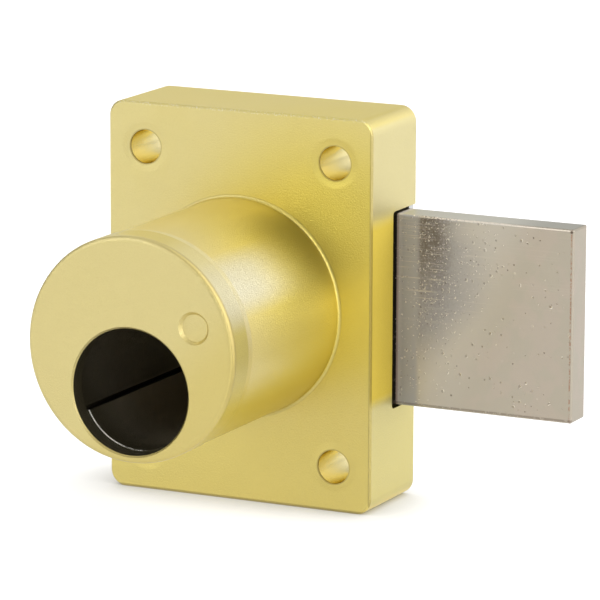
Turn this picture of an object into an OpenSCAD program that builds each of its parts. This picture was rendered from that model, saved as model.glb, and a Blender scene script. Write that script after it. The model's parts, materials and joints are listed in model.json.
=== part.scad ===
// Cabinet deadbolt lock body: a cast case with a round nose for a key cylinder, a flat
// sliding bolt, and the cam train that throws it. The case is built up from the cam stack,
// the bolt's travel and the cylinder's bore, so every wall follows the pieces inside it.
// Millimetres. X is the way the bolt is thrown, Y runs from the mounting face to the rear,
// Z is up. The origin is where the nose's axis meets the mounting face. The bolt is thrown.

/* [Case] */
// Height of the case
case_height = 54; // [52:0.5:60]
// Thickness of the side walls round the works
case_wall = 2.58; // [2.2:0.02:3.2]
// Thickness of the wall behind the mounting face
floor_thickness = 3; // [2.6:0.1:4]
// Corner radius of the case seen from the front
case_corner_radius = 2.2; // [1.5:0.1:2.6]
// Small bevel broken on the case's edges
case_bevel = 0.25; // [0.1:0.05:0.5]
// Width of the rim left round the inset cover
cover_rim = 1.5; // [1.2:0.1:1.8]
// Bare round recess in the nose's face: diameter
badge_diameter = 4.4; // [3:0.1:6]
// Bare round recess in the nose's face: depth
badge_depth = 0.45; // [0.1:0.05:0.6]
// Bare round recess: how much narrower its floor is in radius
badge_draft = 0.4; // [0.1:0.05:0.6]
// Bare round recess: distance to the side of the nose's axis
badge_side = 9.35; // [9:0.05:10.5]
// Bare round recess: height above the nose's axis
badge_rise = 3.8; // [2:0.1:6]

/* [Nose] */
// Diameter of the turned band at the nose's end
nose_diameter = 30.2; // [29:0.1:33]
// Length of the nose ahead of the mounting face
nose_length = 31.5; // [22:0.5:45]
// Length of the turned band
nose_band_length = 4.4; // [3.5:0.1:8]
// Length of the slope from the band down to the cast barrel
nose_step_length = 1.4; // [0.6:0.1:3]
// How much lower the cast barrel lies than the band
nose_step_height = 0.15; // [0.05:0.05:0.5]
// Radius on the nose's front edge
nose_edge_radius = 0.7; // [0.3:0.1:0.7]
// Fillet where the nose meets the mounting face
nose_root_radius = 0.4; // [0.2:0.1:0.8]

/* [Cylinder seat] */
// Diameter of the hole that the key cylinder shows through
mouth_diameter = 16.9; // [16:0.1:17.5]
// Thickness of the nose's wall under that hole, at its thinnest
mouth_wall = 1.05; // [1:0.05:1.5]
// Thickness of the lip that stops the cylinder
lip_thickness = 2.5; // [2:0.1:4.5]
// How much smaller the channel behind the lip is in radius
channel_step = 0.25; // [0.2:0.05:0.4]
// Width of the relief groove where the channel meets the tower's bore
relief_width = 0.6; // [0.4:0.1:1]
// Depth of that groove
relief_depth = 0.5; // [0.3:0.1:0.8]
// Thickness of the nose's wall round the cylinder's tower
tower_wall = 3.45; // [2.6:0.05:4]

/* [Mounting holes] */
// Diameter of the four screw holes through the case
fixing_hole_diameter = 4.7; // [4:0.1:5]
// Distance from a hole's centre to the side of the case
fixing_inset_x = 5.57; // [5:0.01:6]
// Distance from a hole's centre to the top or bottom of the case
fixing_inset_z = 6.17; // [5.5:0.01:6.8]

/* [Bolt] */
// Travel of the bolt
bolt_throw = 25.4; // [24:0.1:28]
// Height of the blade
bolt_height = 26.4; // [24:0.2:28]
// Thickness of the bolt
bolt_thickness = 4.5; // [3.5:0.1:6]
// How far the blade still stands out when it is withdrawn
bolt_proud = 0.4; // [0.1:0.1:1]
// How far each shoulder of the tail stands above the blade
shoulder_height = 1.6; // [1.4:0.1:2]
// Steel left between the cam's window and the end of the tail
tail_web = 1.7; // [1.4:0.1:2.5]
// Softened edges of the blade
bolt_edge_radius = 0.35; // [0.1:0.05:0.6]

/* [Cam train] */
// Diameter of the drive pin
pin_diameter = 3.2; // [2.6:0.1:3.6]
// Turn of the cam between the bolt's two ends
cam_sweep = 120; // [110:1:130]
// Turn of the key before it picks up the cam
key_free_turn = 30; // [15:1:40]
// Thickness of the cam
cam_thickness = 1.6; // [1.2:0.1:2.5]
// Radius of the cam's round body
cam_radius = 7.6; // [7.2:0.1:7.8]
// Radius of the cam's tip round the drive pin
cam_tip_radius = 2.7; // [2.5:0.1:3.2]
// Radius of the cam's hub, which turns in the bush
hub_radius = 5; // [4.8:0.1:5.2]
// Radius of the driver's shank, which turns in the hub
driver_radius = 3.6; // [3.2:0.1:3.8]
// Thickness of the driver's flange and lug
driver_flange = 0.7; // [0.5:0.1:1.5]
// Width of the driver's slot for the cylinder's tailpiece
tailpiece_width = 5.4; // [4:0.1:5.6]
// Thickness of the driver's slot for the cylinder's tailpiece
tailpiece_thickness = 2; // [1.6:0.1:2.2]
// Free depth between the driver and the bolt
driver_room = 0.95; // [0.5:0.05:2]

/* [Sheet metal] */
// Thickness of the plate that holds the cylinder and carries the cam
retainer_thickness = 1.2; // [1:0.1:2]
// Wall of the bush in that plate
bush_wall = 1.1; // [0.8:0.1:1.2]
// Thickness of the bush's flange
bush_flange = 0.4; // [0.3:0.1:0.8]
// Thickness of the rear cover
cover_thickness = 1.4; // [1.2:0.1:2]
// Thickness of the detent spring's strip
spring_thickness = 0.3; // [0.2:0.05:0.4]
// How far the spring's bumps reach below the top of the tail
detent_depth = 0.55; // [0.3:0.05:0.8]

/* [Fasteners] */
// Shank diameter of the retainer's four screws
retainer_screw_diameter = 2; // [1.6:0.1:2.2]
// Length of the retainer's screws
retainer_screw_length = 6; // [4:0.5:10]
// Shank diameter of the cover's two screws
cover_screw_diameter = 2.5; // [2:0.1:3]
// Length of the cover's screws
cover_screw_length = 6; // [4:0.5:7]

/* [Hidden] */
$fn = 96;

// Clearances
running_fit = 0.05; // radial, between a shaft and its hole
sliding_fit = 0.15; // between the bolt and what it slides on or stops at
seat_gap = 0.05; // between stacked flat pieces that move past each other
cover_fit = 0.1; // round the cover in its rebate
tab_inset = 0.45; // of the cover's tab from the case's side
notch_fit = 0.4; // above and below the blade in the wall's notch
notch_gap = 1.3; // between the notch's front edge and the blade
overcut = 1; // how far a cut runs past the face it opens

// Depths, from the mounting face to the rear
retainer_front = floor_thickness;
retainer_rear = retainer_front + retainer_thickness;
cam_front = retainer_rear + bush_flange + seat_gap;
cam_rear = cam_front + cam_thickness;
driver_rear = cam_rear + seat_gap + driver_flange;
bolt_front = driver_rear + driver_room;
bolt_rear = bolt_front + bolt_thickness;
cover_front = bolt_rear + sliding_fit;
case_depth = cover_front + cover_thickness;
ledge_depth = bolt_front - sliding_fit;
notch_depth = bolt_front - notch_gap;

// Nose and cylinder seat
nose_radius = nose_diameter / 2;
barrel_radius = nose_radius - nose_step_height;
mouth_radius = mouth_diameter / 2;
channel_radius = mouth_radius - channel_step;
tower_radius = nose_radius - tower_wall;
cam_drop = nose_radius - mouth_wall - mouth_radius; // the cylinder's axis below the nose's
mouth_chamfer = 0.25;
relief_rise = (pow(channel_radius, 2) - pow(tower_radius, 2) - pow(cam_drop, 2)) / (2 * cam_drop);
relief_side = sqrt(pow(tower_radius, 2) - pow(relief_rise, 2));

// The drive pin swings symmetrically over the top of the cam's axis
pin_radius = pin_diameter / 2;
pin_reach = bolt_throw / 2;
pin_start = 90 - cam_sweep / 2;
arm_length = pin_reach / cos(pin_start);
pin_low = arm_length * sin(pin_start) - cam_drop;
pin_high = arm_length - cam_drop;
// The bolt keeps pace with the cam's angle, so the pin strays sideways by up to pin_stray
stray_angle = asin(bolt_throw / cam_sweep * 180 / PI / arm_length);
pin_stray = arm_length * cos(stray_angle) - pin_reach
    + bolt_throw * (stray_angle - pin_start) / cam_sweep;
window_fit = 0.12;
window_half = pin_radius + pin_stray + window_fit;
window_middle = arm_length * sin(stray_angle) - cam_drop;
window_sagitta_run = window_middle - pin_low;
window_arc_radius = (pow(window_sagitta_run, 2) + pow(pin_stray, 2)) / (2 * pin_stray);

// Bolt, and the cavity that it slides in
tail_end = pin_reach - window_half - tail_web;
cavity_half = bolt_throw - tail_end + sliding_fit;
case_width = 2 * (cavity_half + case_wall);
bolt_end = case_width / 2 + bolt_proud + bolt_throw;
shoulder_end = cavity_half - sliding_fit;
shoulder_top = bolt_height / 2 + shoulder_height;
shoulder_chamfer = 0.7;
guide_half = shoulder_top + sliding_fit;
notch_half = bolt_height / 2 + notch_fit;
notch_corner_radius = 0.6;
front_room = 0.6; // clear space past the cam's tip and round body
cam_space_top = max(notch_half, pin_high + cam_tip_radius + front_room);
channel_room = 0.3; // clear space past the cylinder's channel
cam_space_bottom = max(notch_half, cam_drop + cam_radius + front_room,
    cam_drop + channel_radius + channel_room);

// Pockets above and below the bolt's guides, each with a post for a cover screw
pocket_half_width = 9.5;
pocket_top = case_height / 2 - case_wall;
post_radius = 2.6;
post_inset = 4.2; // from the pocket's end to the post's middle
post_height = pocket_top - post_inset;
pocket_corner_radius = 1;

// Fasteners
fixing_x = case_width / 2 - fixing_inset_x;
fixing_z = case_height / 2 - fixing_inset_z;
retainer_screw_circle = (tower_radius + barrel_radius) / 2;
retainer_screw_angles = [45, 135, 210, 330];
head_ratio = 1.85; // countersunk head over shank
drive_reach = 1.1; // length of the cross recess over shank
drive_width = 0.25; // width of the cross recess's slots over shank
drive_depth = 0.8; // depth of the cross recess over the head's height
retainer_hole_half = retainer_screw_diameter / 2 + running_fit;
retainer_screw_end = retainer_rear - retainer_screw_length;
cover_hole_half = cover_screw_diameter / 2 + running_fit;

// Clips, washer and stops of the cam train
clip_thickness = 0.7;
clip_bite = 0.6; // depth of the groove that a clip snaps into
clip_rim = 1.4; // how far a clip stands out of its groove's shaft
clip_gap_angle = 70;
washer_thickness = 0.25;
washer_rim = 0.4; // how far the washer shows past its clip
washer_front = retainer_front - seat_gap - washer_thickness;
cam_clip_rear = washer_front - seat_gap;
cam_clip_front = cam_clip_rear - clip_thickness;
hub_front = cam_clip_front - clip_bite / 2;
driver_clip_thickness = 0.4;
driver_clip_rear = hub_front - seat_gap;
driver_clip_front = driver_clip_rear - driver_clip_thickness;
driver_front = driver_clip_front - clip_bite;
driver_clip_bite = 0.5;
driver_flange_rim = 1.6; // how far the driver's flange stands out of its shank
driver_flange_radius = driver_radius + driver_flange_rim;
lug_inset = 0.4; // of the driver's lug from the cam's edge
lug_radius = cam_radius - lug_inset;
lug_root = 0.5; // how deep the lug runs into the flange
lug_angle = 40;
stop_angle = 360 - lug_angle - cam_sweep - 2 * key_free_turn;
stop_gap = 0.2; // between the cam's raised stop and the driver's flange
stop_inset = 0.1; // of that stop from the cam's edge
stop_inner = driver_flange_radius + stop_gap;
stop_height = driver_flange + seat_gap;
pin_end_gap = 0.4; // between the drive pin and the cover
bush_radius = hub_radius + running_fit + bush_wall;
bush_inset = 0.3; // of the bush's flange from the cam's edge
pin_spigot = 0.75; // riveted end over the pin's diameter

// Detent spring, a strip looped round the upper post with a bump at each foot
spring_inset = 0.3; // of the strip's edges from the bolt's faces
spring_front = bolt_front + spring_inset;
spring_width = bolt_thickness - 2 * spring_inset;
loop_radius = post_radius + running_fit + spring_thickness / 2;
loop_angle = 20; // how far the loop closes below the post's middle
loop_steps = 10;
bump_inset = 0.75; // of each bump from the end of the bolt's tail
bump_reach = tail_end - bump_inset;
bump_low = shoulder_top - detent_depth + spring_thickness / 2;
bump_rise = 1.1;
bump_half = 0.9;

// ---- Helpers ----

// Extrudes a front-view outline (X right, Z up) between two depths
module between(front, rear) {
    translate([0, rear, 0]) rotate([90, 0, 0]) linear_extrude(rear - front) children();
}

// Extrudes an end-view outline (Y right, Z up) between two places along X
module along_x(start, end) {
    translate([start, 0, 0]) rotate([90, 0, 90]) linear_extrude(end - start) children();
}

// Round bar along Y between two depths
module round_bar(radius, front, rear) {
    translate([0, rear, 0]) rotate([90, 0, 0]) cylinder(r = radius, h = rear - front);
}

// Rectangle from one corner to the other with rounded corners
module rounded_rectangle(low, high, radius) {
    size = high - low;
    for (x = [low[0] + radius, high[0] - radius], z = [low[1] + radius, high[1] - radius])
        translate([x, z]) circle(radius);
    translate(low + [radius, 0]) square(size - [2 * radius, 0]);
    translate(low + [0, radius]) square(size - [0, 2 * radius]);
}

// Rectangle with its four corners cut off
module chamfered_rectangle(width, height, chamfer) {
    polygon([
        [chamfer, 0], [width - chamfer, 0], [width, chamfer], [width, height - chamfer],
        [width - chamfer, height], [chamfer, height], [0, height - chamfer], [0, chamfer]
    ]);
}

// Moves children to the axis of the cylinder, the cam and the driver
module at_cam() {
    translate([0, 0, -cam_drop]) children();
}

// Moves children to one of the retainer's screws
module at_retainer_screw(angle) {
    translate([retainer_screw_circle * cos(angle), 0, retainer_screw_circle * sin(angle)]) children();
}

// Moves children to each of the four fixing holes
module at_fixings() {
    for (x = [-1, 1], z = [-1, 1])
        translate([x * fixing_x, 0, z * fixing_z]) children();
}

// Countersunk screw along Y with its head's face at a given depth
module countersunk_screw(diameter, length, rear) {
    head_radius = diameter * head_ratio / 2;
    head_height = head_radius - diameter / 2;
    difference() {
        union() {
            round_bar(diameter / 2, rear - length, rear - head_height);
            translate([0, rear, 0]) rotate([90, 0, 0])
                cylinder(r1 = head_radius, r2 = diameter / 2, h = head_height);
        }
        between(rear - head_height * drive_depth, rear + overcut)
            for (turn = [0, 90])
                rotate(turn) square([diameter * drive_reach, diameter * drive_width], center = true);
    }
}

// Hole for that screw, with the seat for its head
module countersunk_hole(diameter, half, front, rear) {
    head_radius = diameter * head_ratio / 2 + running_fit;
    round_bar(half, front, rear + overcut);
    translate([0, rear, 0]) rotate([90, 0, 0])
        cylinder(r1 = head_radius, r2 = half, h = head_radius - half);
}

// ---- Case ----

// Block with rounded corners, and a bevel along every front and rear edge
module bevelled_block(width, height, depth, radius, bevel) {
    for (x = [-1, 1], z = [-1, 1])
        translate([x * (width / 2 - radius), depth, z * (height / 2 - radius)]) rotate([90, 0, 0])
            rotate_extrude() polygon([
                [0, 0], [radius - bevel, 0], [radius, bevel], [radius, depth - bevel],
                [radius - bevel, depth], [0, depth]
            ]);
    along_x(radius - width / 2, width / 2 - radius)
        translate([0, -height / 2]) chamfered_rectangle(depth, height, bevel);
    translate([-width / 2, 0, radius - height / 2]) linear_extrude(height - 2 * radius)
        chamfered_rectangle(width, depth, bevel);
}

// The nose's section, with its length upwards from the mounting face
module nose_profile() {
    band_start = nose_length - nose_band_length;
    edge_start = nose_length - nose_edge_radius;
    polygon([
        [0, -overcut], [barrel_radius, -overcut], [barrel_radius, band_start - nose_step_length],
        [nose_radius, band_start], [nose_radius, edge_start], [0, edge_start]
    ]);
    square([nose_radius - nose_edge_radius, nose_length]);
    translate([nose_radius - nose_edge_radius, edge_start]) circle(nose_edge_radius);
    difference() {
        translate([barrel_radius - overcut, -overcut])
            square([nose_root_radius + overcut, nose_root_radius + overcut]);
        translate([barrel_radius + nose_root_radius, nose_root_radius]) circle(nose_root_radius);
    }
}

// The room for the key cylinder: its mouth, its round channel and its tower's bore
module cylinder_room() {
    lip_rear = lip_thickness - nose_length;
    round_bar(tower_radius, lip_rear, floor_thickness + overcut);
    // Relief grooves along the two lines where the channel and the tower's bore meet
    between(lip_rear, floor_thickness + overcut)
        translate([0, relief_rise])
            square([2 * (relief_side + relief_depth), relief_width], center = true);
    at_cam() {
        round_bar(channel_radius, lip_rear, floor_thickness + overcut);
        round_bar(mouth_radius, -nose_length - overcut, lip_rear);
        widening = mouth_chamfer + overcut;
        translate([0, mouth_chamfer - nose_length, 0]) rotate([90, 0, 0])
            cylinder(r1 = mouth_radius, r2 = mouth_radius + widening, h = widening);
    }
}

// Bare round recess in the nose's face, narrower at its floor
module badge_recess() {
    floor_radius = badge_diameter / 2 - badge_draft;
    widening = badge_draft * overcut / badge_depth;
    translate([badge_side, badge_depth - nose_length, badge_rise]) rotate([90, 0, 0])
        cylinder(r1 = floor_radius, r2 = badge_diameter / 2 + widening, h = badge_depth + overcut);
}

// The room for the works, open at the rear
module works_room() {
    // The cam turns in the front part
    between(floor_thickness, ledge_depth + overcut) {
        translate([-cavity_half, -cam_space_bottom])
            square([2 * cavity_half, cam_space_bottom + cam_space_top]);
    }
    // The bolt's tail slides in the rear part, on the ledges that the front part leaves
    between(ledge_depth, case_depth + overcut)
        square([2 * cavity_half, 2 * guide_half], center = true);
    // Pockets above and below
    difference() {
        between(notch_depth, case_depth + overcut)
            rounded_rectangle([-pocket_half_width, -pocket_top],
                [pocket_half_width, pocket_top], pocket_corner_radius);
        for (side = [-1, 1])
            translate([0, 0, side * post_height]) round_bar(post_radius, floor_thickness, cover_front);
    }
    // Rebate for the cover
    between(cover_front, case_depth + overcut)
        rounded_rectangle([cover_rim - case_width / 2, cover_rim - case_height / 2],
            [case_width / 2 - cover_rim, case_height / 2 - cover_rim], case_corner_radius - cover_rim / 2);
    // Notch for the blade
    along_x(cavity_half - overcut, case_width / 2 + overcut)
        rounded_rectangle([notch_depth, -notch_half],
            [case_depth + 2 * overcut, notch_half], notch_corner_radius);
}

module case() {
    color("gold")
    difference() {
        union() {
            bevelled_block(case_width, case_height, case_depth, case_corner_radius, case_bevel);
            rotate([90, 0, 0]) rotate_extrude($fn = 180) nose_profile();
        }
        cylinder_room();
        works_room();
        at_fixings() round_bar(fixing_hole_diameter / 2, -overcut, case_depth + overcut);
        for (angle = retainer_screw_angles)
            at_retainer_screw(angle)
                round_bar(retainer_hole_half, retainer_screw_end - running_fit, retainer_rear);
        for (side = [-1, 1])
            translate([0, 0, side * post_height])
                round_bar(cover_hole_half, case_depth - cover_screw_length - running_fit, case_depth);
        badge_recess();
    }
}

// ---- Rear cover ----

module cover_plate() {
    half_width = case_width / 2 - cover_rim - cover_fit;
    half_height = case_height / 2 - cover_rim - cover_fit;
    tab_half = notch_half - 2 * cover_fit;
    tab_end = case_width / 2 - tab_inset;
    color("silver")
    difference() {
        between(cover_front, case_depth) {
            rounded_rectangle([-half_width, -half_height], [half_width, half_height],
                case_corner_radius - cover_rim / 2 - cover_fit / 2);
            translate([0, -tab_half]) square([tab_end, 2 * tab_half]);
        }
        at_fixings() round_bar(fixing_hole_diameter / 2, cover_front - overcut, case_depth + overcut);
        for (side = [-1, 1])
            translate([0, 0, side * post_height])
                countersunk_hole(cover_screw_diameter, cover_hole_half, cover_front - overcut, case_depth);
    }
}

module cover_screw(side) {
    color("gainsboro")
    translate([0, 0, side * post_height])
        countersunk_screw(cover_screw_diameter, cover_screw_length, case_depth);
}

// ---- Cylinder retainer and the cam's bearing ----

module cylinder_retainer() {
    edge = sliding_fit + cover_fit;
    color("lightgray")
    difference() {
        between(retainer_front, retainer_rear)
            rounded_rectangle([edge - cavity_half, edge - cam_space_bottom],
                [cavity_half - edge, cam_space_top - edge], pocket_corner_radius);
        at_cam() round_bar(bush_radius, retainer_front - overcut, retainer_rear + overcut);
        for (angle = retainer_screw_angles)
            at_retainer_screw(angle)
                countersunk_hole(retainer_screw_diameter, retainer_hole_half,
                    retainer_front - overcut, retainer_rear);
    }
}

module retainer_screw(angle) {
    color("dimgray")
    at_retainer_screw(angle)
        countersunk_screw(retainer_screw_diameter, retainer_screw_length, retainer_rear);
}

// Flanged bush pressed into the retainer
module cam_bush() {
    color("darkgoldenrod")
    at_cam() difference() {
        union() {
            round_bar(bush_radius, retainer_front, retainer_rear);
            round_bar(cam_radius - bush_inset, retainer_rear, retainer_rear + bush_flange);
        }
        round_bar(hub_radius + running_fit, retainer_front - overcut, cam_front + overcut);
    }
}

// ---- Cam ----

// Two circles joined by their outer tangents, the small one a distance to the right
module link_outline(large, small, distance) {
    tangent = acos((large - small) / distance);
    circle(large);
    translate([distance, 0]) circle(small);
    polygon([
        large * [cos(tangent), sin(tangent)],
        [distance, 0] + small * [cos(tangent), sin(tangent)],
        [distance, 0] + small * [cos(tangent), -sin(tangent)],
        large * [cos(tangent), -sin(tangent)]
    ]);
}

// Sector of a ring about the origin
module ring_sector(inner, outer, start, sweep) {
    difference() {
        circle(outer);
        circle(inner);
        rotate(start + sweep) missing_sector(outer, 360 - sweep);
    }
}

// Fan of triangles that covers a sector of a disc, from the X axis round
module missing_sector(radius, sweep) {
    steps = ceil(sweep / 60);
    reach = 2 * radius;
    polygon(concat([[0, 0]], [
        for (i = [0:steps])
            let (angle = sweep * i / steps)
            reach * [cos(angle), sin(angle)]
    ]));
}

// Groove round a shaft for a clip
module clip_groove(shaft, bite, front, rear) {
    difference() {
        round_bar(shaft + overcut, front - seat_gap / 2, rear + seat_gap / 2);
        round_bar(shaft - bite, front - overcut, rear + overcut);
    }
}

// Open spring ring that sits in such a groove, with its gap downwards
module snap_clip(shaft, bite, front, rear) {
    inner = shaft - bite + running_fit / 2;
    between(front, rear)
        ring_sector(inner, shaft + clip_rim, clip_gap_angle / 2 - 90, 360 - clip_gap_angle);
}

module drive_cam() {
    color("slategray")
    at_cam() difference() {
        union() {
            round_bar(hub_radius, hub_front, cam_front);
            between(cam_front, cam_rear)
                rotate(pin_start) link_outline(cam_radius, cam_tip_radius, arm_length);
            // Raised stop that the driver's lug pushes from either side
            between(cam_rear, cam_rear + stop_height)
                ring_sector(stop_inner, cam_radius - stop_inset, pin_start - stop_angle / 2, stop_angle);
        }
        round_bar(driver_radius + running_fit, hub_front - overcut, cam_rear + overcut);
        clip_groove(hub_radius, clip_bite, cam_clip_front, cam_clip_rear);
        translate([pin_reach, 0, arm_length * sin(pin_start)])
            round_bar(pin_radius * pin_spigot, cam_front - overcut, cam_rear + overcut);
    }
}

// Pin riveted into the cam's tip, which reaches through the bolt's window
module drive_pin() {
    color("lightsteelblue")
    translate([pin_reach, 0, pin_low]) {
        round_bar(pin_radius * pin_spigot, cam_front, cam_rear);
        round_bar(pin_radius, cam_rear, cover_front - pin_end_gap);
    }
}

module thrust_washer() {
    color("goldenrod")
    at_cam() difference() {
        round_bar(hub_radius + clip_rim + washer_rim, washer_front, washer_front + washer_thickness);
        round_bar(hub_radius + running_fit, washer_front - overcut, retainer_front);
    }
}

module cam_clip() {
    color("dimgray")
    at_cam() snap_clip(hub_radius, clip_bite, cam_clip_front, cam_clip_rear);
}

// ---- Driver, which the cylinder's tailpiece turns ----

module tail_driver() {
    color("peru")
    at_cam() difference() {
        union() {
            round_bar(driver_radius, driver_front, cam_rear + seat_gap);
            round_bar(driver_flange_radius, cam_rear + seat_gap, driver_rear);
            between(cam_rear + seat_gap, driver_rear)
                ring_sector(driver_flange_radius - lug_root, lug_radius, -90 - lug_angle / 2, lug_angle);
        }
        clip_groove(driver_radius, driver_clip_bite, driver_clip_front, driver_clip_rear);
        between(driver_front - overcut, cam_rear)
            square([tailpiece_thickness, tailpiece_width], center = true);
    }
}

module driver_clip() {
    color("dimgray")
    at_cam() snap_clip(driver_radius, driver_clip_bite, driver_clip_front, driver_clip_rear);
}

// ---- Bolt ----

// The room that the drive pin needs in the bolt: a seat at the bottom where the pin rests
// at both ends of the travel, under an arch as wide as the pin strays on the way
module cam_window() {
    seat = pin_radius + window_fit;
    translate([0, pin_low]) circle(seat);
    intersection() {
        translate([window_half - window_arc_radius, window_middle]) circle(window_arc_radius);
        translate([window_arc_radius - window_half, window_middle]) circle(window_arc_radius);
        translate([-window_half, pin_low - window_arc_radius])
            square([2 * window_half, pin_high + seat - pin_low + window_arc_radius]);
    }
}

// Blade with its long and end edges softened, as the meeting of three rounded bars
module blade(start, end) {
    half = bolt_height / 2;
    intersection() {
        along_x(start, end) rounded_rectangle([bolt_front, -half], [bolt_rear, half], bolt_edge_radius);
        between(bolt_front, bolt_rear)
            rounded_rectangle([start - overcut, -half], [end, half], bolt_edge_radius);
        translate([0, 0, -half]) linear_extrude(bolt_height)
            rounded_rectangle([start - overcut, bolt_front], [end, bolt_rear], bolt_edge_radius);
    }
}

module deadbolt() {
    color("lightgray")
    difference() {
        union() {
            blade(tail_end + overcut, bolt_end);
            translate([tail_end, 0, 0]) between(bolt_front, bolt_rear)
                translate([0, -shoulder_top])
                    chamfered_rectangle(shoulder_end - tail_end, 2 * shoulder_top, shoulder_chamfer);
        }
        translate([pin_reach, 0, 0]) between(bolt_front - overcut, bolt_rear + overcut) cam_window();
    }
}

// ---- Detent spring ----

// Points to the left of a path, half a strip's thickness away, mitred at each bend
function strip_side(path, offset) = [
    for (i = [0:len(path) - 1])
        let (
            before = path[max(i - 1, 0)],
            after = path[min(i + 1, len(path) - 1)],
            into = i == 0 ? after - path[i] : path[i] - before,
            out = i == len(path) - 1 ? path[i] - before : after - path[i],
            bisector = into / norm(into) + out / norm(out),
            normal = [-bisector[1], bisector[0]] / norm(bisector),
            stretch = 1 / (normal * [-into[1], into[0]] / norm(into))
        )
        path[i] + normal * offset * stretch
];

function reversed(list) = [for (i = [len(list) - 1:-1:0]) list[i]];

// Right half of the strip's middle line: the loop over the post, the arm and the bump
spring_right = concat(
    [
        for (i = [0:loop_steps])
            let (angle = 90 - (90 + loop_angle) * i / loop_steps)
            [0, post_height] + loop_radius * [cos(angle), sin(angle)]
    ],
    [
        [bump_reach - bump_half, bump_low + bump_rise],
        [bump_reach - bump_half / 3, bump_low],
        [bump_reach + bump_half / 3, bump_low],
        [bump_reach + bump_half, bump_low + bump_rise]
    ]
);
spring_left = [for (p = reversed(spring_right)) if (p[0] > 0.01) [-p[0], p[1]]];
spring_path = concat(spring_left, spring_right);

module detent_spring() {
    half = spring_thickness / 2;
    color("steelblue")
    between(spring_front, spring_front + spring_width)
        polygon(concat(strip_side(spring_path, half), reversed(strip_side(spring_path, -half))));
}

case();
cover_plate();
cover_screw(1);  // cover_screw_upper
cover_screw(-1);  // cover_screw_lower
cylinder_retainer();
retainer_screw(retainer_screw_angles[0]);  // retainer_screw_upper_right
retainer_screw(retainer_screw_angles[1]);  // retainer_screw_upper_left
retainer_screw(retainer_screw_angles[2]);  // retainer_screw_lower_left
retainer_screw(retainer_screw_angles[3]);  // retainer_screw_lower_right
cam_bush();
detent_spring();
drive_cam();
drive_pin();
thrust_washer();
cam_clip();
tail_driver();
driver_clip();
deadbolt();
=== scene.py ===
# A cabinet deadbolt lock body: satin brass case with a round nose, nickelled bolt, steel works.
import json
import math

import bpy
from mathutils import Matrix, Vector


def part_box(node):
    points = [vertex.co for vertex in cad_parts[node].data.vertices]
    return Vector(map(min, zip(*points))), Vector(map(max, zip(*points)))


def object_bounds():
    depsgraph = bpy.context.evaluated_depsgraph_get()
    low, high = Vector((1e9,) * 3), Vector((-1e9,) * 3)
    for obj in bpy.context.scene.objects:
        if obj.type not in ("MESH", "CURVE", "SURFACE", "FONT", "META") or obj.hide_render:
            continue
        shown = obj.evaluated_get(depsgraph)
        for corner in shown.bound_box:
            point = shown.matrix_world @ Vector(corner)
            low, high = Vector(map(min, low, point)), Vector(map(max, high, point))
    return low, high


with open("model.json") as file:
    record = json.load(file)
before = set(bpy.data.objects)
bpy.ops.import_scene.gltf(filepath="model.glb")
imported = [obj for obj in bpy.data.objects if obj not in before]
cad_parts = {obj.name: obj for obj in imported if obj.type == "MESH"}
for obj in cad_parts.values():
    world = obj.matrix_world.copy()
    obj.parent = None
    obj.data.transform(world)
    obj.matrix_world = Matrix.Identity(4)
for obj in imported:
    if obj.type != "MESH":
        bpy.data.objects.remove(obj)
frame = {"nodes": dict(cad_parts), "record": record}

cadBox = [list(corner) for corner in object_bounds()]
print("frame loaded:", len(frame["nodes"]), "nodes")


# One output socket of a node, which Python's operators work on by adding Math nodes.
class Wire:
    def __init__(self, finish, socket):
        self.finish, self.socket = finish, socket

    def math(self, operation, first, second=0.0):
        return self.finish.node("ShaderNodeMath", {"operation": operation}, {0: first, 1: second})

    def __add__(self, other):
        return self.math("ADD", self, other)

    def __radd__(self, other):
        return self.math("ADD", other, self)

    def __sub__(self, other):
        return self.math("SUBTRACT", self, other)

    def __rsub__(self, other):
        return self.math("SUBTRACT", other, self)

    def __mul__(self, other):
        return self.math("MULTIPLY", self, other)

    def __rmul__(self, other):
        return self.math("MULTIPLY", other, self)

    def __truediv__(self, other):
        return self.math("DIVIDE", self, other)

    def __pow__(self, other):
        return self.math("POWER", self, other)

    def __rpow__(self, other):
        return self.math("POWER", other, self)

    def __or__(self, other):  # the larger of two masks
        return self.math("MAXIMUM", self, other)

    def __abs__(self):
        return self.math("ABSOLUTE", self)


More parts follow.
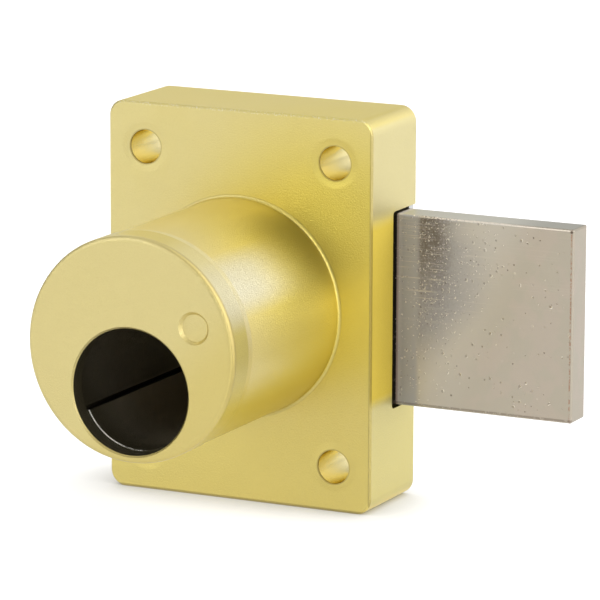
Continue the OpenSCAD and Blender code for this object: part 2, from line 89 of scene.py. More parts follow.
# A node tree being written: a material's or the world's.
class Finish:
    def __init__(self, owner):
        owner.use_nodes = True
        self.owner, self.tree = owner, owner.node_tree
        self.tree.nodes.clear()

    # Adds a node of a type with its settings first, then the values or wires of its sockets
    def node(self, kind, settings=None, values=None, out=0):
        made = self.tree.nodes.new(kind)
        for key, value in (settings or {}).items():
            setattr(made, key, value)
        for key, value in (values or {}).items():
            if isinstance(value, Wire):
                self.tree.links.new(value.socket, made.inputs[key])
            elif isinstance(value, (tuple, list)) and made.inputs[key].type == "RGBA":
                made.inputs[key].default_value = (*value, 1)
            else:
                made.inputs[key].default_value = value
        return Wire(self, made.outputs[out]) if made.outputs else made

    # Another output of the node that a wire comes from
    def output(self, wire, name):
        return Wire(self, wire.socket.node.outputs[name])

    # Object coordinates, moved so that centre is at zero, then scaled
    def place(self, centre=(0, 0, 0), scale=(1, 1, 1)):
        coordinates = self.node("ShaderNodeTexCoord", out=3)
        shifted = self.node("ShaderNodeVectorMath", {"operation": "SUBTRACT"},
                            {0: coordinates, 1: centre})
        return self.node("ShaderNodeMapping", {}, {"Vector": shifted, "Scale": scale})

    def axes(self, where):
        split = self.node("ShaderNodeSeparateXYZ", {}, {0: where})
        return [self.output(split, i) for i in range(3)]

    def channels(self, colour):
        split = self.node("ShaderNodeSeparateColor", {}, {0: colour})
        return [self.output(split, i) for i in range(3)]

    # The scale is in features to a metre
    def noise(self, where, scale, detail, roughness):
        return self.node("ShaderNodeTexNoise", {}, {
            "Vector": where, "Scale": scale, "Detail": detail, "Roughness": roughness})

    # 0 below low, 1 above high and a smooth step between them
    def band(self, value, low, high):
        return self.node("ShaderNodeMapRange", {"interpolation_type": "SMOOTHSTEP"},
                         {"Value": value, "From Min": low, "From Max": high})

    # 1 from one step up to the next step down, each a pair of edges
    def between(self, value, rise, fall):
        return self.band(value, *rise) * (1 - self.band(value, *fall))

    # 1 where a point lies in the direction of an angle round the nose, 0 from so many degrees off
    def turned(self, x, z, angle, spread):
        around = math.radians(angle)
        facing = (x * math.cos(around) + z * math.sin(around)) / (x ** 2 + z ** 2) ** 0.5
        return self.band(facing, math.cos(math.radians(spread)), 1.0)

    # 1 within the first distance of a point on the lock, 0 beyond the second
    def nearTo(self, centre, within, beyond):
        x, y, z = self.axes(self.place(centre=centre))
        return 1 - self.band((x ** 2 + y ** 2 + z ** 2) ** 0.5, within, beyond)

    def mix(self, factor, first, second):
        return self.node("ShaderNodeMix", {"data_type": "RGBA"}, {0: factor, 6: first, 7: second},
                         out=2)

    def bump(self, height, distance, **values):
        return self.node("ShaderNodeBump", {}, {"Height": height, "Distance": distance, **values})

    def surface(self, **values):
        named = {key.replace("_", " "): value for key, value in values.items()}
        shader = self.node("ShaderNodeBsdfPrincipled", {}, named)
        self.node("ShaderNodeOutputMaterial", {}, {"Surface": shader})
        return self.owner


def newFinish(name):
    return Finish(bpy.data.materials.new(name))


# A pair of edges, moved by a distance
def moved(edges, distance):
    return tuple(edge + distance for edge in edges)


def darker(colour, share=0.8):
    return tuple(share * channel for channel in colour)


cameraView = dict(
    azimuth=26.086,  # degrees round from the front, towards the bolt's side
    elevation=11.724,
    roll=0.23,
    lens=286.96,
    sensor=36.0,
    clipStart=0.01,
    distance=0.648151,
    aimRight=0.008256,  # from the origin to the point looked at
    aimUp=0.000868,
)


def makeCamera():
    view = cameraView
    turn = (Matrix.Rotation(math.radians(view["azimuth"]), 4, "Z")
            @ Matrix.Rotation(math.radians(90 - view["elevation"]), 4, "X")
            @ Matrix.Rotation(math.radians(view["roll"]), 4, "Z"))
    camera = bpy.data.objects.new("camera", bpy.data.cameras.new("camera"))
    camera.data.lens, camera.data.sensor_width = view["lens"], view["sensor"]
    camera.data.clip_start = view["clipStart"]
    bpy.context.scene.collection.objects.link(camera)
    offset = Vector((view["aimRight"], view["aimUp"], view["distance"]))
    camera.matrix_world = Matrix.Translation(turn.to_3x3() @ offset) @ turn
    bpy.context.scene.camera = camera


white = (1, 1, 1)
studio = dict(
    dimLevel=0.24,  # the room between its soft lights, as the metal sees it
    leastLevel=0.04,
    floorSize=6.0,
    floorColour=(0.5, 0.5, 0.5),
    floorLift=0.70,  # white that the camera adds to the floor, so that it meets the background
    shadowReach=0.009,  # how far from the lock that white is held back
    shadowSharpness=1.2,
    shadowSamples=16,
    floorShine=0.45,  # white that the metal adds to what it mirrors of the floor
)
# Soft lights painted on the room: each falls off from its centre as exp(-sharpness * (1 - cos))
softLights = dict(
    window=dict(azimuth=78, elevation=8, sharpness=3.8, level=2.9),
    key=dict(azimuth=-37, elevation=31, sharpness=13.2, level=2.92),
    high=dict(azimuth=114, elevation=43, sharpness=4.2, level=1.92),
    fill=dict(azimuth=-141, elevation=28, sharpness=16.0, level=1.15),
    flag=dict(azimuth=27, elevation=34, sharpness=12.9, level=-1.8),  # a dark screen
)


# Unit vector from the origin towards a compass place: 0 is the front, 90 the bolt's side
def towards(azimuth, elevation):
    around, up = math.radians(azimuth), math.radians(elevation)
    return (math.sin(around) * math.cos(up), -math.cos(around) * math.cos(up), math.sin(up))


def makeWorld():
    world = bpy.data.worlds.new("studio")
    bpy.context.scene.world = world
    finish = Finish(world)
    camera = finish.output(finish.node("ShaderNodeLightPath"), "Is Camera Ray")
    direction = finish.node("ShaderNodeTexCoord", out=0)
    room = studio["dimLevel"]
    for light in softLights.values():
        facing = finish.node("ShaderNodeVectorMath", {"operation": "DOT_PRODUCT"}, {
            0: direction, 1: towards(light["azimuth"], light["elevation"])}, out=1)
        room = room + light["level"] * math.e ** (light["sharpness"] * (facing - 1))
    background = finish.node("ShaderNodeBackground", {}, {
        "Color": white, "Strength": camera + (1 - camera) * (room | studio["leastLevel"])})
    finish.node("ShaderNodeOutputWorld", {}, {"Surface": background})


def makeFloor():
    half = studio["floorSize"] / 2
    low = cadBox[0][2]
    corners = [(-half, -half, low), (half, -half, low), (half, half, low), (-half, half, low)]
    mesh = bpy.data.meshes.new("floor")
    mesh.from_pydata(corners, [], [(0, 1, 2, 3)])
    floor = bpy.data.objects.new("floor", mesh)
    bpy.context.scene.collection.objects.link(floor)
    finish = newFinish("pale floor")
    path = finish.node("ShaderNodeLightPath")
    camera, mirror = finish.output(path, "Is Camera Ray"), finish.output(path, "Is Glossy Ray")
    matt = finish.node("ShaderNodeBsdfDiffuse", {}, {"Color": studio["floorColour"]})
    openness = finish.node("ShaderNodeAmbientOcclusion", {"samples": studio["shadowSamples"]},
                           {"Distance": studio["shadowReach"]}, out=1)
    lift = finish.node("ShaderNodeEmission", {}, {
        "Color": white,
        "Strength": camera * studio["floorLift"] * openness ** studio["shadowSharpness"]
        + mirror * studio["floorShine"]})
    both = finish.node("ShaderNodeAddShader", {}, {0: matt, 1: lift})
    finish.node("ShaderNodeOutputMaterial", {}, {"Surface": both})
    mesh.materials.append(finish.owner)


# Lengths are in metres and pairs of them are the two edges of a smooth step. Angles are degrees
# round the nose, up from the bolt's side, and a turn is an angle with its spread to either side.
# A noise is its scale, detail and roughness.
brass = dict(
    colour=(0.760, 0.652, 0.272),
    roughness=0.42,
    lacquerRoughness=0.35,
    grazing=(0.85, 0.78, 0.46),  # tint of the shine at a low angle
    cloudy=(0.750, 0.636, 0.245),  # slow changes of tone
    cloudNoise=(70, 3, 0.5),
    cloudEdges=(0.35, 0.75),
    cloudRoughness=0.06,
    grainNoise=(4000, 3, 0.75),
    grainDepth=0.000085,
    grainEdges=(0.40, 0.75),
    grainTone=0.07,  # how dark the grain's hollows are
    # The plate
    plateStart=(-0.0003, -0.0001),
    deep=(0.780, 0.650, 0.140),  # painted reflection: a deeper gold round the nose's root, where the brass mirrors brass
    deepCentre=(0.014, -0.002, 0.006),
    deepEdges=(0.010, 0.028),
    foot=(0.785, 0.650, 0.188),  # lower down
    footEdges=(-0.019, -0.005),
    noseReflection=(0.920, 0.765, 0.150),  # painted reflection of the nose, a brighter gold on the plate beside it
    noseReflectionCentre=(0.0115, 0.0, 0.0125),
    noseReflectionEdges=(0.0010, 0.0095),
    speck=(0.16, 0.11, 0.03),
    speckNoise=(420, 2, 0.5),
    speckEdges=(0.785, 0.80),
    # The side that the bolt leaves by
    sideEdges=(-0.0004, -0.0001),  # from the side
    pale=(0.715, 0.632, 0.315),  # painted highlight: paler and cooler on the side, where more light falls
    paleFoot=(0.700, 0.612, 0.225),
    paleEdges=(-0.020, 0.010),
    beside=(0.750, 0.610, 0.120),  # bare of lacquer next to the bolt, with a painted reflection: a deeper, brighter gold
    besideFoot=(-0.0128, -0.0108),
    besideTop=(0.0118, 0.0146),
    besideBack=(0.0068, 0.0074),
    besideDull=0.4,
    # The nose, with distances behind its front where they are so named
    barrelInner=(0.01470, 0.01480),
    barrelOuter=(0.01530, 0.01540),
    barrelBehind=(0.0004, 0.0006),
    bandBehind=(0.0042, 0.0046),
    stepBehind=(0.0056, 0.0060),
    rim=(0.680, 0.575, 0.160),  # the band behind the nose's face
    under=(0.665, 0.530, 0.045),  # painted shade: a deeper gold on the underside
    underEdges=(-0.0085, -0.0020),
    shoulderHighlight=(0.665, 0.640, 0.515),  # painted highlight: pale along the shoulder
    shoulderHighlightShare=0.9,
    shoulderHighlightTurn=(36, 20),
    shoulderHighlightEnd=(-0.022, -0.004),
    bandHighlightTurn=(33, 22),
    stepHighlight=(0.860, 0.810, 0.580),  # painted highlight on the step and the band
    stepTurn=(52, 60),
    stepShare=0.8,
    bandTurn=(44, 34),
    bandShare=0.5,
    rootShade=(0.250, 0.205, 0.040),  # painted shade, darkest just before the root
    rootShadeTurn=(41, 34),
    rootShadeStart=(-0.0180, -0.0020),
    shadeTurn=(20, 50),
    shadeShare=0.3,
    root=(0.500, 0.410, 0.120),  # painted shade: a darker line round the root, dimming its shine
    rootInner=(0.01502, 0.01506),
    rootOuter=(0.01540, 0.01550),
    rootStart=(-0.0006, -0.0004),
    rootShare=0.4,
    face=(0.718, 0.608, 0.250),  # the nose's end
    faceLow=(0.677, 0.551, 0.172),  # towards its lower corner on the bolt's side
    faceLean=(0.002, 0.016),
    faceBehind=(0.0005, 0.0007),
    mouthEdges=(0.00868, 0.00872),
    mouthShare=0.4,
    roundedInner=(0.01475, 0.01490),  # painted shade on the face's rounded edge, dimming its shine
    roundedTurn=(26, 66),
    roundedBehind=(0.0007, 0.0011),
    roundedShare=0.8,
    # Edges and holes
    edge=(0.400, 0.310, 0.080),  # painted shade: dark on edges and in corners
    bevelEnd=(0.00022, 0.00030),
    outerWidth=(0.0003, 0.00045),
    outerShare=0.75,
    lipInner=(0.00226, 0.00232),
    lipOuter=(0.00246, 0.00252),
    lipShare=0.6,
    nicked=(0.960, 0.930, 0.820),
    fleckNoise=(4600, 3, 0.7),
    nickedWidth=(-0.0005, -0.0003),  # from the top
    nickedFlecks=(0.54, 0.62),
    nickedShare=0.6,
    bareAndLit=(0.965, 0.850, 0.470),  # bare in the screw holes, painted lighter against their shade
    holeEdges=(0.00242, 0.00246),
    holeStart=(0.0003, 0.0004),
    holePolish=0.27,
    holeGrain=0.3,  # grain left in them
    dimpleEdges=(0.0024, 0.0036),  # how far the metal round each screw hole sinks
    dimpleDepth=0.00014,
    topWidth=(-0.0003, -0.0001),  # thinner lacquer along the top edge
    topShare=0.6,
)
blacking = dict(  # the baked black inside the nose and the case, which in the case is also painted shade in the bolt's gap
    colour=(0.030, 0.025, 0.014),
    inner=(0.60, 0.51, 0.35),  # painted lighter further in, against the shade there, where the metal also shows through
    innerBehind=(0.0030, 0.0200),
    innerAbove=0.45,  # how much less of that above the seam
    innerMetal=0.5,  # how much metal shows through it
    roughness=0.45,
    tubeEdges=(0.00855, 0.00860),
    tubeBehind=(0.00021, 0.00025),
    boreEdges=(0.0125, 0.0126),
    boreBehind=(0.0015, 0.0016),
    worksFront=(0.0030, 0.0031),
    worksBack=(0.0136, 0.0137),
    worksSide=(0.0190, 0.0191),
    worksTop=(0.0235, 0.0236),
    holeClear=(0.0030, 0.0031),
    seamShade=(0.004, 0.003, 0.002),  # painted shade along the cylinder's channel
    seamAngles=(0.050, 0.030),  # radians to either side
    seamBehind=(0.00250, 0.00255),
    aboveEdges=(-0.02, 0.02),
    wornHighlight=(0.95, 0.93, 0.85),  # worn through on the ledge in the mouth, painted near white as a highlight
    ledgeAngles=(-156, -82),
    ledgeFade=0.05,
    ledgeStart=(0.00240, 0.00245),
    ledgeEnd=(0.0026, 0.0027),
    ledgeFlecks=(0.70, 0.84),
    ledgeLean=0.5,  # how much more of it towards its first angle
    ledgeEdges=(0.00828, 0.00832),
)


# Brass with a blasted grain and a clear lacquer outside, baked black within the nose and the case
def brassFinish():
    finish = newFinish("satin brass")
    band, between, mix, turned = finish.band, finish.between, finish.mix, finish.turned
    where = finish.place()
    x, y, z = finish.axes(where)
    low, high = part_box("case")
    mounts = {mount["name"]: mount for mount in frame["record"]["mounts"]}
    front, drop = low[1], mounts["cylinder_mouth"]["pos_m"][2]
    behind = y - front
    noseReach = (x ** 2 + z ** 2) ** 0.5
    mouthReach = (x ** 2 + (z - drop) ** 2) ** 0.5
    holes = mounts["fixing_holes"]["dims"]
    holeX, holeZ = (holes[name] / 2000 for name in ("spacing_x_mm", "spacing_y_mm"))
    holeReach = ((abs(x) - holeX) ** 2 + (abs(z) - holeZ) ** 2) ** 0.5

    # Black in the mouth behind its chamfer, in the wider bore further back and round the works;
    # round the works it is also painted shade in the gap beside the bolt
    tube = (1 - band(mouthReach, *blacking["tubeEdges"])) * band(behind, *blacking["tubeBehind"])
    bore = (1 - band(noseReach, *blacking["boreEdges"])) * band(behind, *blacking["boreBehind"])
    works = between(y, blacking["worksFront"], blacking["worksBack"]) \
        * (1 - band(abs(x), *blacking["worksSide"])) * (1 - band(abs(z), *blacking["worksTop"])) \
        * band(holeReach, *blacking["holeClear"])
    black = tube | bore | works

    # The plate and the side: slow clouds, a deeper gold round the nose's root, paler on the side
    grain = finish.noise(where, *brass["grainNoise"])
    cloud = finish.noise(where, *brass["cloudNoise"])
    colour = mix(band(cloud, *brass["cloudEdges"]), brass["colour"], brass["cloudy"])
    colour = mix(finish.nearTo(brass["deepCentre"], *brass["deepEdges"]), colour, brass["deep"])
    colour = mix(1 - band(z, *brass["footEdges"]), colour, brass["foot"])
    side = band(x, *moved(brass["sideEdges"], high[0]))
    colour = mix(side, colour, mix(band(z, *brass["paleEdges"]), brass["paleFoot"], brass["pale"]))
    beside = side * between(z, brass["besideFoot"], brass["besideTop"]) \
        * (1 - band(y, *brass["besideBack"]))
    colour = mix(beside, colour, brass["beside"])
    plate = band(y, *brass["plateStart"])
    noseReflection = plate * finish.nearTo(brass["noseReflectionCentre"], *brass["noseReflectionEdges"])
    colour = mix(noseReflection, colour, brass["noseReflection"])

    # The nose, with painted light: a pale highlight on the shoulder, a bright step, painted shade
    # before the root and round it
    barrel = between(noseReach, brass["barrelInner"], brass["barrelOuter"]) \
        * (1 - plate) * band(behind, *brass["barrelBehind"])
    cast = band(behind, *brass["bandBehind"])
    wearAndHighlight = cast * turned(x, z, *brass["shoulderHighlightTurn"]) * (1 - band(y, *brass["shoulderHighlightEnd"])) \
        + (1 - cast) * turned(x, z, *brass["bandHighlightTurn"])
    step = cast * (1 - band(behind, *brass["stepBehind"])) * turned(x, z, *brass["stepTurn"])
    bright = step * brass["stepShare"] \
        | (1 - cast) * turned(x, z, *brass["bandTurn"]) * brass["bandShare"]
    rootShade = turned(x, z, *brass["rootShadeTurn"]) * band(y, *brass["rootShadeStart"])
    shaded = (1 - cast) * turned(x, z, *brass["shadeTurn"]) * brass["shadeShare"]
    colour = mix(barrel * (1 - cast), colour, brass["rim"])
    colour = mix(barrel * (1 - band(z, *brass["underEdges"])), colour, brass["under"])
    colour = mix(barrel * wearAndHighlight * brass["shoulderHighlightShare"], colour, brass["shoulderHighlight"])
    colour = mix(barrel * bright, colour, brass["stepHighlight"])
    colour = mix(barrel * (rootShade | shaded), colour, brass["rootShade"])
    ring = between(noseReach, brass["rootInner"], brass["rootOuter"]) * band(y, *brass["rootStart"])
    colour = mix(ring * brass["rootShare"], colour, brass["root"])

    # The nose's end, with painted shade round the mouth and on its rounded edge
    face = mix(band(x - z, *brass["faceLean"]), brass["face"], brass["faceLow"])
    mouth = (1 - band(mouthReach, *brass["mouthEdges"])) * brass["mouthShare"]
    end = 1 - band(behind, *brass["faceBehind"])
    colour = mix(end, colour, mix(mouth, face, brass["edge"]))
    rounded = band(noseReach, *brass["roundedInner"]) * turned(x, z, *brass["roundedTurn"]) \
        * (1 - band(behind, *brass["roundedBehind"]))
    colour = mix(rounded * brass["roundedShare"], colour, brass["edge"])

    # The plate's edges: painted shade at the side and foot and round each hole, bright nicks along
    # the top
    flecks = finish.noise(where, *brass["fleckNoise"])
    bevel = plate * (1 - band(y, *brass["bevelEnd"]))
    outer = bevel * ((1 - band(high[0] - x, *brass["outerWidth"]))
                     | (1 - band(z - low[2], *brass["outerWidth"])))
    lip = bevel * between(holeReach, brass["lipInner"], brass["lipOuter"])
    nicked = bevel * band(z, *moved(brass["nickedWidth"], high[2])) \
        * band(flecks, *brass["nickedFlecks"])
    colour = mix(outer * brass["outerShare"] | lip * brass["lipShare"], colour, brass["edge"])
    colour = mix(nicked * brass["nickedShare"], colour, brass["nicked"])
    colour = mix(band(grain, *brass["grainEdges"]) * brass["grainTone"], colour, brass["edge"])
    specks = band(finish.noise(where, *brass["speckNoise"]), *brass["speckEdges"])
    colour = mix(bevel * specks, colour, brass["speck"])

    # The blacking is painted lighter further in against the shade, where more metal shows, with a
    # painted highlight along the ledge behind the mouth
    inner = band(behind, *blacking["innerBehind"])
    first, last = (math.radians(angle) for angle in blacking["ledgeAngles"])
    middle, half = (first + last) / 2, (last - first) / 2
    arc = (x * math.cos(middle) + (z - drop) * math.sin(middle)) / mouthReach
    along = (x * math.cos(first) + (z - drop) * math.sin(first)) / mouthReach
    across = (x * math.sin(first) - (z - drop) * math.cos(first)) / mouthReach
    above = band(across, *blacking["aboveEdges"])
    seamShade = band(along, *(math.cos(angle) for angle in blacking["seamAngles"])) \
        * band(behind, *blacking["seamBehind"])
    blackTone = mix(inner * (1 - blacking["innerAbove"] * above),
                    blacking["colour"], blacking["inner"])
    blackTone = mix(seamShade, blackTone, blacking["seamShade"])
    ledge = band(arc, math.cos(half + blacking["ledgeFade"]), math.cos(half)) \
        * between(behind, blacking["ledgeStart"], blacking["ledgeEnd"]) \
        * band(flecks + along * blacking["ledgeLean"], *blacking["ledgeFlecks"]) \
        * (1 - band(mouthReach, *blacking["ledgeEdges"]))
    blackTone = mix(ledge, blackTone, blacking["wornHighlight"])
    colour = mix(black, colour, blackTone)
    # The screw holes' walls: bare brass, painted lighter against the shade inside them
    wall = (1 - band(holeReach, *brass["holeEdges"])) * band(y, *brass["holeStart"])
    colour = mix(wall, colour, brass["bareAndLit"])

    dimple = finish.bump(band(holeReach, *brass["dimpleEdges"]), brass["dimpleDepth"])
    thin = band(z, *moved(brass["topWidth"], high[2])) * brass["topShare"]
    roughness = brass["roughness"] + (cloud - 0.5) * brass["cloudRoughness"] \
        + black * (blacking["roughness"] - brass["roughness"]) \
        - wall * brass["holePolish"] + beside * brass["besideDull"]
    metallic = 1 - black * (1 - blacking["innerMetal"] * inner)
    return finish.surface(
        Base_Color=colour, Metallic=metallic, Roughness=roughness,
        Specular_Tint=brass["grazing"], Coat_Roughness=brass["lacquerRoughness"],
        Coat_Weight=(1 - black) * (1 - wall) * (1 - beside) * (1 - thin),
        Normal=finish.bump(grain * (1 - (1 - brass["holeGrain"]) * wall), brass["grainDepth"],
                           Normal=dimple))


# Heights are from the bolt's middle and reaches from the case's side
nickel = dict(
    colour=(0.478, 0.428, 0.343),
    warm=(0.497, 0.432, 0.352),
    mottleNoise=(340, 2, 0.5),
    mottleEdges=(0.42, 0.58),
    roughness=0.30,
    cloudNoise=(120, 4, 0.6),
    cloudRoughness=0.04,
    filmRoughness=0.04,
    edgeRoughness=0.2,
    metallic=0.98,
    relief=0.00002,  # height of a burr, and the others as shares of it
    grainRelief=0.10,
    filmRelief=0.9,  # more grain in the film
    pitRelief=2.5,
    nickRelief=2.0,
    scratchRelief=0.8,
    speckleNoise=(3300, 3, 0.8),
    chipNoise=(2600, 3, 0.75),
    flatDepth=(0.00020, 0.00034),  # how deep the broad face's rounded edge goes
    # Beside the case: painted reflection of the case and nose, in a dull film with more grain
    # painted reflection of the case, dark and neutral
    caseReflection=(0.372, 0.360, 0.380),
    caseReflectionGrain=(0.3, 0.7),
    reflectionShare=0.95,
    reflectionReach=0.0102,  # to the middle of its edge, on the upper half
    reflectionEdges=(-0.0040, 0.0050),  # to either side of that
    reflectionRise=(-0.0110, 0.0030),  # heights between which it widens
    reflectionTop=(0.009, 0.012),  # and narrows again
    reflectionTopShare=0.2,
    reflectionWander=0.004,
    strip=(0.395, 0.392, 0.430),  # its even strip nearest the case, part of the painted reflection
    stripEdges=(0.0026, 0.0037),
    dark=(0.125, 0.100, 0.082),  # its speckled corner at the top
    darkReach=(0.0055, 0.0095),
    darkRise=(-0.0010, 0.0115),
    darkGrain=(0.20, 0.60),
    mirroredNose=(0.590, 0.543, 0.467),  # painted reflection where the blade mirrors the nose, further out
    dullEdges=(0.0085, 0.0165),
    dullLean=0.42,
    dullness=0.82,  # how much of the shine the film takes
    upper=(0.390, 0.375, 0.305),  # painted shade on the blade's upper side, toning down its highlight
    upperWidth=(-0.00005, -0.00001),
    wallLight=(0.60, 0.56, 0.52),  # painted lighter next to the case wall, against the shade it casts
    wallLightEdges=(0.0003, 0.0010),
    insideShade=(0.015, 0.012, 0.008),  # painted shade on the part inside the case
    insideShadeEdges=(-0.0001, 0.00005),
    insideShadeDull=0.9,
    # Marks: cells to a metre, share left whole, radius
    pits=(1100, 0.84, 0.00009),
    nicks=((1150, 0.55, 0.00020), (2300, 0.50, 0.00012)),
    rarer=(0.37, 0.60),  # how much fewer of each kind of nick lie outside the film
    hazeCrowd=0.6,
    dullCrowd=0.4,
    stripClear=0.75,  # how much fewer lie in the strip
    strayNoise=(4000, 2, 0.5),
    stray=0.00028,  # how far their outlines wander
    discEdges=(0.6, 1.0),
    pickWidth=0.03,
    burrHighlight=(0.92, 0.87, 0.78),  # painted highlight on one side of a nick, over its raised burr
    burrWidth=0.00013,
    burrChips=(0.36, 0.46),
    burrShare=0.75,
    nickChips=(0.40, 0.50),
    # painted shade on a nick's other side
    nickShare=0.35,
    pit=(0.15, 0.115, 0.09),
    darkPits=(0.45, 0.75),
    darkPitShare=0.75,
    palePits=(0.15, 0.40),
    palePitShare=0.35,
    # Edges: place and half width of each line, and the chips that break it
    bladeHalf=0.0132,  # half its height
    edgeRadius=0.00035,
    copper=(0.40, 0.25, 0.18),  # shows where the plating is worn through
    endWidth=0.00013,
    endChips=(0.44, 0.56),
    footWidth=0.00020,
    footChips=(0.34, 0.46),
    footShare=0.5,
    cream=(0.74, 0.67, 0.58),
    topPlace=0.00016,
    topWidth=0.00014,
    topChips=(0.40, 0.52),
    topStart=(0.0020, 0.0045),
    topFade=(0.007, 0.016),
    topFaded=0.5,
    rubbedPlace=0.00010,
    rubbedWidth=0.00018,
    rubbedShare=0.6,
    cornerEdges=(0.0001, 0.0003),  # a dark dot
    # Scratches along the blade
    scratchStretch=(0.012, 1, 1),
    scratchNoise=(4200, 2, 0.6),
    scratchEdges=(0.57, 0.64),
    patchNoise=(260, 2, 0.5),
    patchEdges=(0.40, 0.55),
    scratchRise=(-0.004, 0.004),
    scratchInFilm=0.9,
    scratchOutside=0.1,
    scratchShare=0.55,
)


# Discs round some points of a cell pattern, with two of the cells' random numbers
def cellDiscs(finish, right, up, scale, whole, radius, more=0.0):
    sheet = finish.node("ShaderNodeCombineXYZ", {}, {0: right, 1: up})
    cell = finish.node("ShaderNodeTexVoronoi", {"voronoi_dimensions": "2D"},
                       {"Vector": sheet, "Scale": scale})
    pick, first, second = finish.channels(finish.output(cell, "Color"))
    hollow = 1 - finish.band(cell / (radius * scale * (0.5 + first)), *nickel["discEdges"])
    picked = finish.band(pick + more, whole, whole + nickel["pickWidth"])
    return picked * hollow, first, second


# Nickel plate with pits, nicks and fine scratches, worn through on the blade's edges
def nickelFinish():
    finish = newFinish("satin nickel")
    band, mix = finish.band, finish.mix
    where = finish.place()
    x, y, z = finish.axes(where)
    low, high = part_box("deadbolt")
    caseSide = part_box("case")[1][0]
    reach = x - caseSide
    cloud = finish.noise(where, *nickel["cloudNoise"])
    mottle = finish.noise(where, *nickel["mottleNoise"])
    speckle = finish.noise(where, *nickel["speckleNoise"])
    chips = finish.noise(where, *nickel["chipNoise"])
    rim, half = nickel["edgeRadius"], nickel["bladeHalf"]
    flat = 1 - band(y - low[1], *nickel["flatDepth"])  # the broad face in front

    # Beside the case: painted reflection and shade in a dull film, darkest and speckled in its
    # upper corner
    middle = nickel["reflectionReach"] * band(z, *nickel["reflectionRise"]) \
        * (1 - nickel["reflectionTopShare"] * band(z, *nickel["reflectionTop"]))
    strip = 1 - band(reach, *nickel["stripEdges"])
    hazeAndReflection = 1 - band(reach - middle + (cloud - 0.5) * nickel["reflectionWander"], *nickel["reflectionEdges"])
    filmAndReflection = strip | hazeAndReflection
    corner = (1 - strip) * (1 - band(reach, *nickel["darkReach"])) * band(z, *nickel["darkRise"])
    reflectionTone = mix(band(speckle, *nickel["caseReflectionGrain"]), nickel["caseReflection"], darker(nickel["caseReflection"]))
    reflectionTone = mix(corner * band(speckle, *nickel["darkGrain"]), reflectionTone, nickel["dark"])
    reflectionTone = mix(strip, reflectionTone, nickel["strip"])
    colour = mix(band(mottle, *nickel["mottleEdges"]), nickel["colour"], nickel["warm"])
    dull = 1 - band(reach - nickel["dullLean"] * z, *nickel["dullEdges"])
    colour = mix(dull, colour, nickel["mirroredNose"])
    colour = mix(filmAndReflection * nickel["reflectionShare"], colour, reflectionTone)
    colour = mix(band(z, *moved(nickel["upperWidth"], half)), colour, nickel["upper"])
    colour = mix(1 - band(reach, *nickel["wallLightEdges"]), colour, nickel["wallLight"])
    insideShade = 1 - band(reach, *nickel["insideShadeEdges"])
    colour = mix(insideShade, colour, nickel["insideShade"])

    # Marks on the broad face: round pits, and nicks painted with a highlight to one side and shade
    # to the other
    scale, detail, roughness = nickel["strayNoise"]
    stray = finish.node("ShaderNodeTexNoise", {}, {
        "Vector": where, "Scale": scale, "Detail": detail, "Roughness": roughness}, out=1)
    shift = finish.node("ShaderNodeVectorMath", {"operation": "MULTIPLY_ADD"}, {
        0: stray, 1: (nickel["stray"],) * 3, 2: where})
    right, _, up = finish.axes(shift)
    pit, _, pitKind = cellDiscs(finish, right, up, *nickel["pits"])
    pit = pit * flat
    crowd = hazeAndReflection * (1 - nickel["stripClear"] * strip) * nickel["hazeCrowd"] \
        + dull * nickel["dullCrowd"] - 1
    nick, burrHighlight, width = 0.0, 0.0, 2 * nickel["burrWidth"]
    for kind, rarer in zip(nickel["nicks"], nickel["rarer"]):
        hollow, leanRight, leanUp = cellDiscs(finish, right, up, *kind, crowd * rarer)
        beyond = cellDiscs(finish, right + (leanRight - 0.5) * width, up + (leanUp - 0.5) * width,
                           *kind, crowd * rarer)[0] * flat
        hollow = hollow * flat
        burrHighlight = hollow * (1 - beyond) * band(chips, *nickel["burrChips"]) * (1 - insideShade) | burrHighlight
        nick = hollow * beyond * band(chips, *nickel["nickChips"]) | nick
    dark, pale = band(pitKind, *nickel["darkPits"]), 1 - band(pitKind, *nickel["palePits"])
    colour = mix(pit * dark * nickel["darkPitShare"] | nick * nickel["nickShare"],
                 colour, nickel["pit"])
    colour = mix(pit * pale * nickel["palePitShare"], colour, nickel["cream"])
    colour = mix(burrHighlight * nickel["burrShare"], colour, nickel["burrHighlight"])

    # Edges: copper broken through along the end and next to the case, a dark broken line along the
    # foot, a pale line along the top
    def line(value, place, width):
        return finish.between(value, (place - width, place - 0.5 * width),
                              (place + 0.5 * width, place + width)) * flat

    endEdge = line(x, high[0] - rim, nickel["endWidth"]) * band(chips, *nickel["endChips"])
    footEdge = line(-1 * z, half - rim, nickel["footWidth"]) * band(chips, *nickel["footChips"])
    topEdge = line(z, half - nickel["topPlace"], nickel["topWidth"]) \
        * band(chips, *nickel["topChips"]) \
        * band(reach, *nickel["topStart"]) \
        * (1 - nickel["topFaded"] * band(reach, *nickel["topFade"]))
    wearAndHighlight = line(reach, nickel["rubbedPlace"], nickel["rubbedWidth"]) * nickel["rubbedShare"]
    colour = mix(endEdge | wearAndHighlight, colour, nickel["copper"])
    colour = mix(footEdge * nickel["footShare"], colour, nickel["pit"])
    colour = mix(topEdge, colour, nickel["cream"])
    dot = finish.nearTo((high[0] - rim, low[1], half - rim), *nickel["cornerEdges"])
    colour = mix(dot, colour, nickel["pit"])

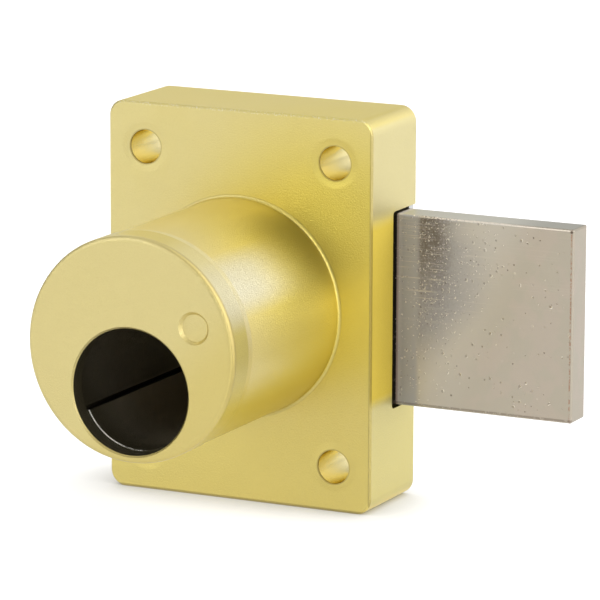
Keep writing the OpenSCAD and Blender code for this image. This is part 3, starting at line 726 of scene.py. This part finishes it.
    # Scratches run along the blade in the upper part of the film
    stretched = finish.place(scale=nickel["scratchStretch"])
    scratch = band(finish.noise(stretched, *nickel["scratchNoise"]), *nickel["scratchEdges"]) \
        * band(finish.noise(where, *nickel["patchNoise"]), *nickel["patchEdges"]) \
        * (hazeAndReflection * nickel["scratchInFilm"] + nickel["scratchOutside"]) \
        * (1 - insideShade) * band(z, *nickel["scratchRise"])
    colour = mix(scratch * nickel["scratchShare"], colour, nickel["cream"])
    height = speckle * (nickel["grainRelief"] + nickel["filmRelief"] * filmAndReflection) + burrHighlight \
        - pit * nickel["pitRelief"] - nick * nickel["nickRelief"] \
        - scratch * nickel["scratchRelief"] - endEdge
    metallic = (1 - nickel["dullness"] * dull) * (1 - nickel["insideShadeDull"] * insideShade)
    roughness = nickel["roughness"] + (cloud - 0.5) * nickel["cloudRoughness"] \
        + filmAndReflection * nickel["filmRoughness"] + topEdge * nickel["edgeRoughness"]
    return finish.surface(
        Base_Color=colour, Metallic=metallic * nickel["metallic"], Roughness=roughness,
        Normal=finish.bump(height, nickel["relief"]))


# The pieces inside and the cover, by their slots
plainMetals = dict(
    cover_steel=dict(name="zinc plate", colour=(0.70, 0.70, 0.68), roughness=0.35),
    screw_steel=dict(name="screw steel", colour=(0.60, 0.60, 0.60), roughness=0.3),
    retainer_steel=dict(name="rolled steel", colour=(0.52, 0.52, 0.51), roughness=0.4),
    bush_bronze=dict(name="bronze", colour=(0.58, 0.38, 0.18), roughness=0.4),
    spring_steel=dict(name="blued steel", colour=(0.20, 0.22, 0.26), roughness=0.3),
    cam_steel=dict(name="tumbled steel", colour=(0.46, 0.46, 0.46), roughness=0.45),
    driver_brass=dict(name="turned brass", colour=(0.72, 0.56, 0.24), roughness=0.3),
)
plainGrain = dict(noise=(1500, 3, 0.6), depth=0.00001, roughness=0.1)


def plainFinish(name, colour, roughness):
    finish = newFinish(name)
    grain = finish.noise(finish.place(), *plainGrain["noise"])
    return finish.surface(
        Base_Color=finish.mix(grain, colour, darker(colour)), Metallic=1.0,
        Roughness=roughness + (grain - 0.5) * plainGrain["roughness"],
        Normal=finish.bump(grain, plainGrain["depth"]))


def dress():
    finishes = {slot: plainFinish(**metal) for slot, metal in plainMetals.items()}
    finishes.update(case_brass=brassFinish(), bolt_nickel=nickelFinish())
    slots = {row["node"]: row["material_slot"] for row in frame["record"]["subparts"]}
    for name, node in frame["nodes"].items():
        node.data.materials.clear()
        node.data.materials.append(finishes[slots[name]])


makeCamera()
makeWorld()
makeFloor()
print("stage set")
dress()
print("finishes on")

bpy.context.scene.view_settings.view_transform = "Standard"
